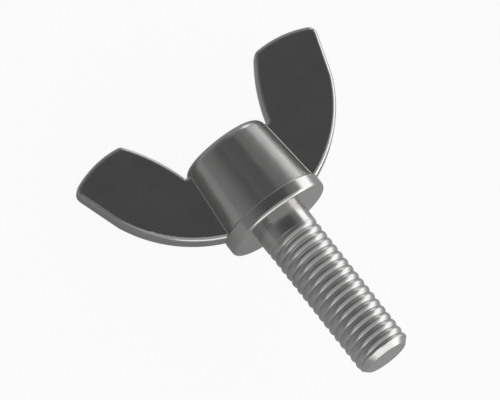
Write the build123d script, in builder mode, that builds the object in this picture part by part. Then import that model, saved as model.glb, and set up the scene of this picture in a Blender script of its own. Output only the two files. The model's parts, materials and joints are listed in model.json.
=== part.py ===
"""Wing screw, M10 x 30, lying on a level surface as it comes to rest.

One forged piece: a threaded shank, a round-edged collar, a conical hub and two flat
wings. The origin is on the surface, under the middle of the screw's box, and +Z points
up. The shank is drawn at the outside diameter of its thread.
"""
from build123d import *
from math import asin, atan2, cos, degrees, hypot, radians, sin
import os

# Shank, measured from the collar's bearing face down to the thread's end.
thread_diameter = 9.9
shank_length = 30.15
end_chamfer = 1.0
neck_fillet = 0.2

# Collar, and the hub that stands on it: a cone that starts a step in from the collar's
# edge and narrows, in radius, towards its top.
collar_diameter = 19.3
collar_height = 2.75
collar_under_round = 0.7
collar_top_round = 0.35
hub_step = 0.45
hub_narrowing = 1.2
hub_height = 16.4
hub_round = 1.5

# Wings: half of their outline as seen square on, as distances out from the screw's axis
# and up from the bearing face. One arc runs under both wings from knee to knee. The inner
# edge ends in a notch beside the hub, a drop below its top and a gap out from its wall.
wing_thickness = 3.65
keel_up = 0.6
knee_out = 22.75
knee_up = 15.4
tip_outer_out = 25.65
tip_outer_up = 24.15
tip_inner_out = 14.35
tip_inner_up = 26.3
root_drop = 1.25
root_gap = 0.65
tip_bulge = 0.92
inner_bulge = 0.6
tip_round = 1.5
knee_round = 5.0
root_notch_round = 0.3
wing_edge_round = 0.75
wing_root_fillet = 0.3

# Radii, slopes and heights that follow from these sizes.
shank_radius = thread_diameter / 2
collar_radius = collar_diameter / 2
hub_base_radius = collar_radius - hub_step
hub_top_radius = hub_base_radius - hub_narrowing
hub_taper = (hub_base_radius - hub_top_radius) / (hub_height - collar_height)
hub_foot_up = collar_height / 2
root_up = hub_height - root_drop
root_out = hub_top_radius + root_drop * hub_taper + root_gap


def lying_pitch():
    """Degrees by which the head dips when the collar and the hub's rim both touch."""
    taper_angle = atan2(hub_taper, 1)
    rim_out = hub_top_radius + hub_round * hub_taper - hub_round / cos(taper_angle)
    narrowing = collar_radius - collar_top_round - rim_out
    rise = hub_height - hub_round - (collar_height - collar_top_round)
    drop = asin((collar_top_round - hub_round) / hypot(narrowing, rise))
    return degrees(atan2(narrowing, rise) + drop)


def tip_corner_centre():
    """Centre of the outer tip's rounding, taking the tip edge as straight near there."""
    corner = Vector(tip_outer_out, tip_outer_up)
    down_edge = (Vector(knee_out, knee_up) - corner).normalized()
    chord = Vector(tip_inner_out, tip_inner_up) - corner
    swing = degrees(2 * atan2(2 * tip_bulge, chord.length))
    tip_edge = chord.normalized().rotate(Axis.Z, -swing)
    half_angle = radians(down_edge.get_angle(tip_edge)) / 2
    return corner + (down_edge + tip_edge).normalized() * (tip_round / sin(half_angle))


def lying_lean(pitch):
    """Degrees of roll about the axis at which the outer corner of one wing touches."""
    dip = radians(pitch)
    centre = tip_corner_centre()
    collar_reach = ((collar_radius - collar_top_round) * cos(dip)
                    + (collar_height - collar_top_round) * sin(dip) + collar_top_round)
    low, high = 0.0, 90.0
    while high - low > 0.001:
        lean = (low + high) / 2
        out = sin(radians(lean)) * cos(dip)
        side = cos(radians(lean)) * cos(dip)
        wing_reach = (centre.X * out + centre.Y * sin(dip)
                      + (tip_round - wing_edge_round) * hypot(out, sin(dip))
                      + (wing_thickness / 2 - wing_edge_round) * side + wing_edge_round)
        if wing_reach < collar_reach:
            low = lean
        else:
            high = lean
    return low


# The screw lies on its collar, its hub's rim and one wing, with its head towards +X.
pitch = lying_pitch()
lean = lying_lean(pitch)
screw_axis = Axis((0, 0, 0), (cos(radians(pitch)), 0, -sin(radians(pitch))))
wing_direction = Vector(0, -1, 0).rotate(screw_axis, -lean)
side_view = Plane((0, 0, 0), wing_direction, wing_direction.cross(screw_axis.direction))

with BuildPart() as wing_screw:
    # Both wings are one plate that runs through the hub.
    with BuildSketch(side_view) as wing_outline:
        with BuildLine() as half_outline:
            knee = (knee_out, knee_up)
            outer_tip = (tip_outer_out, tip_outer_up)
            inner_tip = (tip_inner_out, tip_inner_up)
            root = (root_out, root_up)
            half_keel = ThreePointArc((-knee_out, knee_up), (0, keel_up), knee)
            Line(knee, outer_tip)
            SagittaArc(outer_tip, inner_tip, -tip_bulge)
            SagittaArc(inner_tip, root, -inner_bulge)
            Line(root, (0, root_up))
            mirror(half_outline.edges() - half_keel.edges(), about=Plane.YZ)
        make_face()
        for side in (-1, 1):
            for corner, corner_round in (
                (outer_tip, tip_round),
                (inner_tip, tip_round),
                (knee, knee_round),
                (root, root_notch_round),
            ):
                place = (side * corner[0], corner[1])
                fillet(wing_outline.vertices().sort_by_distance(place)[0], corner_round)
    extrude(amount=wing_thickness / 2, both=True)
    fillet(wing_screw.faces().filter_by(side_view).edges(), wing_edge_round)

    # The hub is a cone whose foot stands inside the collar.
    with BuildSketch(side_view) as hub_section:
        hub_rim = (hub_top_radius, hub_height)
        with BuildLine():
            Polyline(
                (0, hub_foot_up),
                (hub_base_radius + hub_taper * (collar_height - hub_foot_up), hub_foot_up),
                hub_rim,
                (0, hub_height),
                close=True,
            )
        make_face()
        fillet(hub_section.vertices().sort_by_distance(hub_rim)[0], hub_round)
    revolve(axis=screw_axis)

    # A small fillet runs round each wing where it leaves the hub.
    wing_faces = wing_screw.faces().filter_by(side_view)
    wing_roots = wing_faces.edges().filter_by(GeomType.HYPERBOLA)
    fillet(wing_roots, wing_root_fillet)

    # Collar and shank are turned as one.
    with BuildSketch(side_view) as shank_section:
        neck = (shank_radius, 0)
        under_rim = (collar_radius, 0)
        top_rim = (collar_radius, collar_height)
        with BuildLine():
            Polyline(
                (0, -shank_length),
                (shank_radius - end_chamfer, -shank_length),
                (shank_radius, end_chamfer - shank_length),
                neck,
                under_rim,
                top_rim,
                (0, collar_height),
                close=True,
            )
        make_face()
        for corner, corner_round in (
            (neck, neck_fillet),
            (under_rim, collar_under_round),
            (top_rim, collar_top_round),
        ):
            fillet(shank_section.vertices().sort_by_distance(corner)[0], corner_round)
    revolve(axis=screw_axis)

footprint = wing_screw.part.bounding_box()
wing_screw.part.move(Pos(-footprint.center().X, -footprint.center().Y, -footprint.min.Z))
wing_screw.part.label = "wing_screw"

os.makedirs("parts", exist_ok=True)
export_step(wing_screw.part, "parts/wing_screw.step")
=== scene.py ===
"""Looks of the wing screw: its rolled thread, its steel, and the studio it is seen in.

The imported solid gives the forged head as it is. The shank is cut off at the collar's
bearing face and turned again with its thread, so that the screw is one closed mesh.
"""
import json
import logging
import math
from dataclasses import dataclass
from enum import Enum
from typing import Any

import bmesh
import bpy
from mathutils import Matrix, Vector


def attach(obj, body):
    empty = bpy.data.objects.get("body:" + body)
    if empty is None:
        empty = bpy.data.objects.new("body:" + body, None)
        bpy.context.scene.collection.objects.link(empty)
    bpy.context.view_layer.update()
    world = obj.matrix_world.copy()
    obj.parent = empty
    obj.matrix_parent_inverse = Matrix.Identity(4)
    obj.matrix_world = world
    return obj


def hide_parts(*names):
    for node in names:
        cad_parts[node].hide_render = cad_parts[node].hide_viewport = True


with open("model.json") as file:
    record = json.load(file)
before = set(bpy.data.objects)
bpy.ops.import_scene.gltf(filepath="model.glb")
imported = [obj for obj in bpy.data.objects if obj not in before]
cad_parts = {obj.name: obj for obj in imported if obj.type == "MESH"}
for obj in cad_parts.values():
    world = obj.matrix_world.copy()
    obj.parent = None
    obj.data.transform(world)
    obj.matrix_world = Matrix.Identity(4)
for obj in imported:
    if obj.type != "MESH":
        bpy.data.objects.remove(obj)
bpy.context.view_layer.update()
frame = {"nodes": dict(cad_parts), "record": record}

NODE = "wing_screw"
MM = 0.001
WELD_MM = 0.0005
CUT_MM = 0.0001
LOG = logging.getLogger(NODE)


class Finish(Enum):
    """The two ways in which the steel of the screw is finished."""

    FORGED = "forged_steel"
    ROLLED = "rolled_thread_steel"


@dataclass(frozen=True)
class Seat:
    """Where the screw lies: its bearing face, its axis and its roll.

    The screw's own coordinates have +Z along the axis towards the head, +X along one
    wing and the origin at the centre of the collar's bearing face, in millimetres.
    """

    lean_deg: float = 12.383

    def to_row(self) -> Matrix:
        """Give the transform from the screw's own coordinates to the row frame.

        Returns:
            The matrix, which takes millimetres to metres.
        """
        mounts = {mount["name"]: mount for mount in frame["record"]["mounts"]}
        face = mounts["bearing_face"]
        up = -Vector(face["axis"]).normalized()
        level = Vector((0.0, -1.0, 0.0))
        wing = Matrix.Rotation(-math.radians(self.lean_deg), 3, up) @ level
        side = up.cross(wing)
        turn = Matrix((wing, side, up)).transposed().to_4x4()
        return Matrix.Translation(Vector(face["pos_m"])) @ turn @ Matrix.Scale(MM, 4)


@dataclass
class NodeTree:
    """A short way to add and join shader nodes.

    Attributes:
        tree: the node tree that is filled.
    """

    tree: bpy.types.NodeTree

    def add(self, kind: str, **values: Any) -> bpy.types.Node:
        """Add a node and set its inputs and properties.

        Args:
            kind: the node's type name, without "ShaderNode".
            **values: inputs by socket name with "_" for a space, or properties.

        Returns:
            The new node.
        """
        node = self.tree.nodes.new("ShaderNode" + kind)
        for name, value in values.items():
            socket = node.inputs.get(name.replace("_", " "))
            if socket is not None and not hasattr(type(node), name):
                socket.default_value = value
            else:
                setattr(node, name, value)
        return node

    def join(self, source: bpy.types.NodeSocket, target: bpy.types.NodeSocket) -> None:
        """Link one socket to another."""
        self.tree.links.new(source, target)


@dataclass(frozen=True)
class SteelFinish:
    """Bright steel with a fine uneven skin.

    Attributes:
        name: the material's name.
        colour: the metal's base colour.
        roughness: the least and the greatest roughness.
        skin_scale: how fine the skin's unevenness is, per metre.
        skin_depth: how deep the unevenness is, in metres.
        patch_scale: how fine the patches of duller and brighter polish are, per metre.
        patch_range: the span of the patches' noise that the roughness follows.
    """

    name: str
    colour: tuple[float, float, float]
    roughness: tuple[float, float]
    skin_scale: float
    skin_depth: float
    patch_scale: float = 260.0
    patch_range: tuple[float, float] = (0.3, 0.7)

    def material(self) -> bpy.types.Material:
        """Make the material.

        Returns:
            A node material that reads Object coordinates.
        """
        steel = bpy.data.materials.new(self.name)
        steel.use_nodes = True
        steel.node_tree.nodes.clear()
        nodes = NodeTree(steel.node_tree)
        place = nodes.add("TexCoord").outputs["Object"]
        metal = nodes.add("BsdfPrincipled", Metallic=1.0, Base_Color=(*self.colour, 1.0))
        self._uneven_roughness(nodes, place, metal)
        self._uneven_skin(nodes, place, metal)
        output = nodes.add("OutputMaterial")
        nodes.join(metal.outputs["BSDF"], output.inputs["Surface"])
        return steel

    def _uneven_roughness(
        self, nodes: NodeTree, place: bpy.types.NodeSocket, metal: bpy.types.Node
    ) -> None:
        """Let the polish vary in soft patches.

        Args:
            nodes: the material's nodes.
            place: the coordinates to read.
            metal: the shader whose roughness is set.
        """
        low, high = self.patch_range
        least, greatest = self.roughness
        patches = nodes.add("TexNoise", Scale=self.patch_scale, Detail=4.0, Roughness=0.6)
        spread = nodes.add(
            "MapRange", From_Min=low, From_Max=high, To_Min=least, To_Max=greatest
        )
        nodes.join(place, patches.inputs["Vector"])
        nodes.join(patches.outputs["Fac"], spread.inputs["Value"])
        nodes.join(spread.outputs["Result"], metal.inputs["Roughness"])

    def _uneven_skin(
        self, nodes: NodeTree, place: bpy.types.NodeSocket, metal: bpy.types.Node
    ) -> None:
        """Give the surface the slight waviness of tumbled metal.

        Args:
            nodes: the material's nodes.
            place: the coordinates to read.
            metal: the shader whose normal is set.
        """
        waves = nodes.add("TexNoise", Scale=self.skin_scale, Detail=3.0, Roughness=0.55)
        bump = nodes.add("Bump", Strength=1.0, Distance=self.skin_depth)
        nodes.join(place, waves.inputs["Vector"])
        nodes.join(waves.outputs["Fac"], bump.inputs["Height"])
        nodes.join(bump.outputs["Normal"], metal.inputs["Normal"])


STEEL_COLOUR = (0.55, 0.545, 0.54)
STEEL = {
    Finish.FORGED: SteelFinish(
        name=Finish.FORGED.value,
        colour=STEEL_COLOUR,
        roughness=(0.2, 0.24),
        skin_scale=420.0,
        skin_depth=0.000004,
    ),
    Finish.ROLLED: SteelFinish(
        name=Finish.ROLLED.value,
        colour=STEEL_COLOUR,
        roughness=(0.28, 0.32),
        skin_scale=900.0,
        skin_depth=0.000002,
    ),
}


@dataclass
class ThreadedShank:
    """The shank: a plain neck, a right-hand rolled thread and a chamfered end.

    Lengths are in millimetres.

    Attributes:
        outside: the thread's outside diameter.
        pitch: the distance from crest to crest.
        depth: how deep the grooves are.
        crest: the width of each crest before its corners are rounded.
        root: the width of each root before its corners are rounded.
        rounding: the share of a crest or a root that each of its roundings takes.
        phase: how far a crest lies below a whole number of pitches from the end.
        end: how far below the bearing face the thread ends.
        start: how far below the bearing face the grooves begin.
        run_out: the length over which the grooves fade into the neck.
        chamfer: the size of the chamfer on the end.
        fillet: the size of the rounding between the neck and the bearing face.
        neck_gap: how far from the thread the neck's drawn section starts.
        steps: how many steps one turn has.
        tooth_segments: how many segments each rounding of the thread has.
        fillet_segments: how many segments the rounding at the bearing face has.
    """

    outside: float = 9.9
    pitch: float = 1.5
    depth: float = 0.26
    crest: float = 0.6
    root: float = 0.16
    rounding: float = 0.48
    phase: float = 0.3
    end: float = 30.15
    start: float = 3.2
    run_out: float = 0.7
    chamfer: float = 1.0
    fillet: float = 0.06
    neck_gap: float = 0.1
    steps: int = 96
    tooth_segments: int = 5
    fillet_segments: int = 6

    def build(self) -> bmesh.types.BMesh:
        """Make the shank, open where it meets the bearing face.

        Returns:
            The mesh in the screw's own coordinates.
        """
        mesh = bmesh.new()
        self._tooth(mesh, -self.end - self.pitch - self.phase)
        self._turn(mesh, mesh.verts[:] + mesh.edges[:], self.pitch)
        turn = mesh.verts[:] + mesh.edges[:] + mesh.faces[:]
        for number in range(1, math.ceil((self.end - self.start) / self.pitch) + 3):
            copied = bmesh.ops.duplicate(mesh, geom=turn)
            verts = [item for item in copied["geom"] if isinstance(item, bmesh.types.BMVert)]
            bmesh.ops.translate(mesh, vec=(0.0, 0.0, number * self.pitch), verts=verts)
        bmesh.ops.remove_doubles(mesh, verts=mesh.verts[:], dist=WELD_MM)
        self._trim(mesh)
        self._shape_ends(mesh)
        self._close_end(mesh)
        self._add_neck(mesh)
        return mesh

    def _turn(self, mesh: bmesh.types.BMesh, section: list[Any], rise: float) -> None:
        """Turn a chain of edges once round the axis.

        Args:
            mesh: the mesh that holds the chain.
            section: the chain's vertices and edges.
            rise: how far the chain moves along the axis in that turn.
        """
        bmesh.ops.spin(
            mesh,
            geom=section,
            cent=(0.0, 0.0, 0.0),
            axis=(0.0, 0.0, 1.0),
            dvec=(0.0, 0.0, rise / self.steps),
            angle=2 * math.pi,
            steps=self.steps,
            use_merge=False,
            use_duplicate=False,
        )

    def _tooth(self, mesh: bmesh.types.BMesh, low: float) -> None:
        """Draw one pitch of the thread's section as a chain of edges.

        Args:
            mesh: the empty mesh to draw in.
            low: the height of the chain's lower end.
        """
        radius = self.outside / 2
        flank = (self.pitch - self.crest - self.root) / 2
        corners = (
            (0.0, 0.0),
            (self.crest / 2, 0.0),
            (self.crest / 2 + flank, self.depth),
            (self.crest / 2 + flank + self.root, self.depth),
            (self.pitch - self.crest / 2, 0.0),
            (self.pitch, 0.0),
        )
        verts = [mesh.verts.new((radius - deep, 0.0, low + up)) for up, deep in corners]
        for pair in zip(verts, verts[1:]):
            mesh.edges.new(pair)
        for corner, width in ((1, self.crest), (4, self.crest), (2, self.root), (3, self.root)):
            self._round(mesh, verts[corner], self.rounding * width, self.tooth_segments)

    def _round(
        self, mesh: bmesh.types.BMesh, corner: bmesh.types.BMVert, offset: float, segments: int
    ) -> list[bmesh.types.BMEdge]:
        """Round one corner of a chain of edges.

        Args:
            mesh: the mesh that holds the chain.
            corner: the vertex at the corner.
            offset: how far from the corner the rounding starts.
            segments: how many segments the rounding has.

        Returns:
            The rounding's edges.
        """
        made = bmesh.ops.bevel(
            mesh, geom=[corner], offset=offset, offset_type="OFFSET",
            segments=segments, profile=0.5, affect="VERTICES", material=-1,
        )
        return made["edges"]

    def _trim(self, mesh: bmesh.types.BMesh) -> None:
        """Cut the endless thread off at the shank's end and at the neck.

        Args:
            mesh: the thread.
        """
        for height, below in ((-self.end, True), (-self.start, False)):
            bmesh.ops.bisect_plane(
                mesh,
                geom=mesh.verts[:] + mesh.edges[:] + mesh.faces[:],
                dist=CUT_MM,
                plane_co=(0.0, 0.0, height),
                plane_no=(0.0, 0.0, 1.0),
                clear_inner=below,
                clear_outer=not below,
            )

    def _shape_ends(self, mesh: bmesh.types.BMesh) -> None:
        """Fade the grooves out softly below the neck, and chamfer the end.

        Args:
            mesh: the trimmed thread.
        """
        radius = self.outside / 2
        for vert in mesh.verts:
            now = vert.co.xy.length
            along = min(1.0, max(0.0, (-self.start - vert.co.z) / self.run_out))
            soft = along * along * (3 - 2 * along)
            faded = radius - (radius - now) * soft
            chamfered = radius - self.chamfer + vert.co.z + self.end
            vert.co.xy *= min(faded, chamfered) / now

    def _close_end(self, mesh: bmesh.types.BMesh) -> None:
        """Close the shank's end with its flat face.

        Args:
            mesh: the shaped thread.
        """
        rim = [edge for edge in mesh.edges if edge.is_boundary and is_at(edge, -self.end)]
        bmesh.ops.contextual_create(mesh, geom=rim)

    def _add_neck(self, mesh: bmesh.types.BMesh) -> None:
        """Turn the neck's rounded foot. The last bridge makes the plain wall beside it.

        Args:
            mesh: the thread, closed at its end.
        """
        radius = self.outside / 2
        low = self.neck_gap - self.start
        section = (
            mesh.verts.new((radius, 0.0, low)),
            mesh.verts.new((radius, 0.0, 0.0)),
            mesh.verts.new((radius + self.fillet, 0.0, 0.0)),
        )
        edges = [mesh.edges.new(pair) for pair in zip(section, section[1:])]
        edges += self._round(mesh, section[1], self.fillet, self.fillet_segments)
        chain = [edge for edge in edges if edge.is_valid]
        chain += dict.fromkeys(vert for edge in chain for vert in edge.verts)
        self._turn(mesh, chain, 0.0)
        bmesh.ops.remove_doubles(mesh, verts=mesh.verts[:], dist=WELD_MM)
        rims = [
            edge for edge in mesh.edges
            if edge.is_boundary and (is_at(edge, -self.start) or is_at(edge, low))
        ]
        bmesh.ops.bridge_loops(mesh, edges=rims)


def is_at(edge: bmesh.types.BMEdge, height: float) -> bool:
    """Tell whether an edge lies at one height of the screw's own coordinates."""
    return all(abs(vert.co.z - height) < 2 * WELD_MM for vert in edge.verts)


@dataclass
class ForgedHead:
    """Collar, hub and wings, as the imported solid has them.

    Attributes:
        shank_reach: the radius, in millimetres, within which all faces below the collar
            are the shank's.
        shank_top: the height up to which they are, in millimetres.
    """

    shank_reach: float = 5.5
    shank_top: float = 0.01

    def build(self, to_row: Matrix) -> bmesh.types.BMesh:
        """Copy the solid's head.

        Args:
            to_row: the transform from the screw's own coordinates to the row frame.

        Returns:
            The mesh in the screw's own coordinates, open where the shank leaves it.
        """
        mesh = bmesh.new()
        mesh.from_mesh(frame["nodes"][NODE].data)
        bmesh.ops.transform(mesh, matrix=to_row.inverted(), verts=mesh.verts[:])
        bmesh.ops.remove_doubles(mesh, verts=mesh.verts[:], dist=WELD_MM)
        shank = [face for face in mesh.faces if all(map(self._is_shank, face.verts))]
        bmesh.ops.delete(mesh, geom=shank, context="FACES")
        return mesh

    def _is_shank(self, vert: bmesh.types.BMVert) -> bool:
        """Tell whether a vertex lies where only the shank has its faces."""
        return vert.co.z < self.shank_top and vert.co.xy.length < self.shank_reach


@dataclass
class WingScrew:
    """The whole screw: the forged head on its threaded shank, as one closed mesh.

    Attributes:
        seat: where the screw lies.
        head: the forged head.
        shank: the threaded shank.
        sharp_deg: the turn from face to face above which an edge looks crisp.
    """

    seat: Seat
    head: ForgedHead
    shank: ThreadedShank
    sharp_deg: float = 38.0

    def build(self) -> bpy.types.Object:
        """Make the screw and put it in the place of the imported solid.

        Returns:
            The new object.
        """
        to_row = self.seat.to_row()
        whole = self.head.build(to_row)
        for face in whole.faces:
            face.material_index = 0
        shank = self.shank.build()
        for face in shank.faces:
            face.material_index = 1
        part = bpy.data.meshes.new("shank")
        shank.to_mesh(part)
        shank.free()
        whole.from_mesh(part)
        bpy.data.meshes.remove(part)
        self._join(whole)
        self._smooth(whole)
        bmesh.ops.transform(whole, matrix=to_row, verts=whole.verts[:])
        return self._place(whole)

    def _join(self, mesh: bmesh.types.BMesh) -> None:
        """Bridge the shank's upper rim to the rim that it leaves in the head.

        Args:
            mesh: head and shank together.
        """
        rims = [edge for edge in mesh.edges if edge.is_boundary]
        LOG.info("open edges at the bearing face: %d", len(rims))
        made = bmesh.ops.bridge_loops(mesh, edges=rims)
        for face in made["faces"]:
            face.material_index = 0
        bmesh.ops.recalc_face_normals(mesh, faces=mesh.faces[:])
        LOG.info("open edges left: %d", sum(edge.is_boundary for edge in mesh.edges))

    def _smooth(self, mesh: bmesh.types.BMesh) -> None:
        """Shade faces smooth, with crisp edges where the surface turns sharply.

        Args:
            mesh: the whole screw.
        """
        limit = math.radians(self.sharp_deg)
        for face in mesh.faces:
            face.smooth = True
        for edge in mesh.edges:
            edge.smooth = edge.is_manifold and edge.calc_face_angle(math.pi) < limit

    def _place(self, mesh: bmesh.types.BMesh) -> bpy.types.Object:
        """Turn the mesh into an object with its materials and its place in the frame.

        Args:
            mesh: the finished screw in the row frame. It is freed.

        Returns:
            The object.
        """
        data = bpy.data.meshes.new("wing_screw_steel")
        mesh.to_mesh(data)
        mesh.free()
        for finish in Finish:
            data.materials.append(STEEL[finish].material())
        screw = bpy.data.objects.new("wing_screw_steel", data)
        bpy.context.scene.collection.objects.link(screw)
        even = screw.modifiers.new("even_normals", "WEIGHTED_NORMAL")
        even.keep_sharp = True
        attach(screw, "root")
        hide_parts("wing_screw")
        LOG.info("%s: %d faces", screw.name, len(data.polygons))
        return screw


@dataclass(frozen=True)
class Softbox:
    """A large soft lamp that faces the screw.

    Attributes:
        name: the lamp's name.
        bearing_deg: the direction in which it stands, turned from +X towards +Y.
        lift_deg: how high its middle stands, as an angle above the table.
        distance: how far away it stands, in metres.
        width: its width in metres.
        height: its height in metres.
        glow: the brightness of its face.
    """

    name: str
    bearing_deg: float
    lift_deg: float
    distance: float
    width: float
    height: float
    glow: float

    def build(self) -> None:
        """Make the lamp."""
        light = bpy.data.lights.new(self.name, "AREA")
        light.shape = "RECTANGLE"
        light.size = self.width
        light.size_y = self.height
        light.energy = self.glow * math.pi * self.width * self.height
        lamp = bpy.data.objects.new(self.name, light)
        lift = Matrix.Rotation(-math.radians(self.lift_deg), 3, "Y")
        turn = Matrix.Rotation(math.radians(self.bearing_deg), 3, "Z")
        outward = turn @ lift @ Vector((1.0, 0.0, 0.0))
        lamp.location = self.distance * outward
        lamp.rotation_euler = outward.to_track_quat("Z", "Y").to_euler()
        bpy.context.scene.collection.objects.link(lamp)


@dataclass
class Studio:
    """A white table between soft lamps, under a dark ceiling.

    Attributes:
        table_size: the width of the table, in metres.
        table_grey: how light the table's paint is.
        camera_white: the share of pure white in the paint where the camera looks at it.
        sky: the brightness of the surroundings, by how steeply one looks up.
        softboxes: the lamps.
    """

    table_size: float = 4.0
    table_grey: float = 0.72
    camera_white: float = 0.94
    sky: tuple[tuple[float, float], ...] = (
        (0.0, 0.26),
        (0.35, 0.22),
        (0.64, 0.13),
        (0.85, 0.08),
    )
    softboxes: tuple[Softbox, ...] = (
        Softbox("side_softbox", -105.0, 18.0, 0.55, 0.76, 0.38, 1.5),
        Softbox("side_wall", -60.0, 30.0, 0.9, 2.0, 1.1, 0.11),
        Softbox("head_softbox", -49.0, 12.0, 0.6, 0.2, 0.26, 1.2),
        Softbox("head_scrim", 5.0, 53.0, 0.8, 0.7, 0.26, 0.06),
        Softbox("end_softbox", -178.0, 14.0, 0.55, 1.1, 0.3, 1.4),
        Softbox("end_scrim", -180.0, 60.0, 0.8, 2.4, 1.15, 0.42),
    )

    def build(self) -> None:
        """Make the table, the surroundings and the lamps."""
        self._table()
        self._sky()
        for softbox in self.softboxes:
            softbox.build()

    def _table(self) -> None:
        """Make the table."""
        mesh = bmesh.new()
        bmesh.ops.create_grid(mesh, x_segments=1, y_segments=1, size=self.table_size / 2)
        data = bpy.data.meshes.new("table")
        mesh.to_mesh(data)
        mesh.free()
        table = bpy.data.objects.new("table", data)
        bpy.context.scene.collection.objects.link(table)
        data.materials.append(self._table_paint())

    def _table_paint(self) -> bpy.types.Material:
        """Make the table's matt white paint, which looks whiter to the camera.

        Returns:
            The material.
        """
        paint = bpy.data.materials.new("table_white")
        paint.use_nodes = True
        paint.node_tree.nodes.clear()
        nodes = NodeTree(paint.node_tree)
        grey = self.table_grey
        matt = nodes.add("BsdfDiffuse", Color=(grey, grey, grey, 1.0))
        glow = nodes.add("Emission", Color=(1.0, 1.0, 1.0, 1.0), Strength=1.0)
        path = nodes.add("LightPath")
        share = nodes.add("Math", operation="MULTIPLY")
        share.inputs[1].default_value = self.camera_white
        mix = nodes.add("MixShader")
        output = nodes.add("OutputMaterial")
        nodes.join(path.outputs["Is Camera Ray"], share.inputs[0])
        nodes.join(share.outputs[0], mix.inputs["Fac"])
        nodes.join(matt.outputs[0], mix.inputs[1])
        nodes.join(glow.outputs[0], mix.inputs[2])
        nodes.join(mix.outputs[0], output.inputs["Surface"])
        return paint

    def _sky(self) -> None:
        """Surround the table with a soft grey light that darkens towards the ceiling."""
        world = bpy.data.worlds.new("studio_sky")
        bpy.context.scene.world = world
        world.use_nodes = True
        world.node_tree.nodes.clear()
        nodes = NodeTree(world.node_tree)
        place = nodes.add("TexCoord").outputs["Generated"]
        height = nodes.add("SeparateXYZ")
        ceiling = nodes.add("ValToRGB")
        ramp = ceiling.color_ramp
        while len(ramp.elements) < len(self.sky):
            ramp.elements.new(1.0)
        for element, (steepness, brightness) in zip(ramp.elements, self.sky):
            element.position = steepness
            element.color = (brightness, brightness, brightness, 1.0)
        sky = nodes.add("Background", Strength=1.0)
        output = nodes.add("OutputWorld")
        nodes.join(place, height.inputs[0])
        nodes.join(height.outputs["Z"], ceiling.inputs["Fac"])
        nodes.join(ceiling.outputs["Color"], sky.inputs["Color"])
        nodes.join(sky.outputs[0], output.inputs["Surface"])


@dataclass
class ProductCamera:
    """A long-distance camera, so that nothing is foreshortened.

    Attributes:
        seat: where the screw lies.
        to_camera: the direction from the screw to the camera, in the screw's own
            coordinates.
        head_in_picture: the direction, right and up, in which the head points in the
            picture.
        view_width: the width of the view, in millimetres.
        shift: how far the bearing face's centre is right of and below the middle of the
            picture, in millimetres.
        distance: how far away the camera is, in metres.
    """

    seat: Seat
    to_camera: tuple[float, float, float] = (-0.2448, -0.9448, -0.2176)
    head_in_picture: tuple[float, float] = (-0.617, 0.787)
    view_width: float = 84.92
    shift: tuple[float, float] = (5.071, 3.624)
    distance: float = 0.8

    def build(self) -> None:
        """Make the camera and set it as the scene's."""
        to_row = self.seat.to_row()
        turn = to_row.to_3x3().normalized()
        back = (turn @ Vector(self.to_camera)).normalized()
        axis = turn @ Vector((0.0, 0.0, 1.0))
        up = (axis - axis.dot(back) * back).normalized()
        right = up.cross(back)
        across, along = self.head_in_picture
        camera_right = across * up + along * right
        camera_up = along * up - across * right
        aim = to_row.translation - MM * (self.shift[0] * camera_right - self.shift[1] * camera_up)
        lens = bpy.data.cameras.new("product_camera")
        lens.type = "ORTHO"
        lens.ortho_scale = self.view_width * MM
        camera = bpy.data.objects.new("product_camera", lens)
        facing = Matrix((camera_right, camera_up, back)).transposed().to_4x4()
        camera.matrix_world = Matrix.Translation(aim + self.distance * back) @ facing
        bpy.context.scene.collection.objects.link(camera)
        bpy.context.scene.camera = camera


def main() -> None:
    """Build the screw, the studio and the camera."""
    logging.basicConfig(level=logging.INFO, format="%(name)s: %(message)s")
    bpy.context.scene.view_settings.view_transform = "Standard"
    seat = Seat()
    WingScrew(seat, ForgedHead(), ThreadedShank()).build()
    Studio().build()
    ProductCamera(seat).build()


if __name__ == "__main__":
    main()
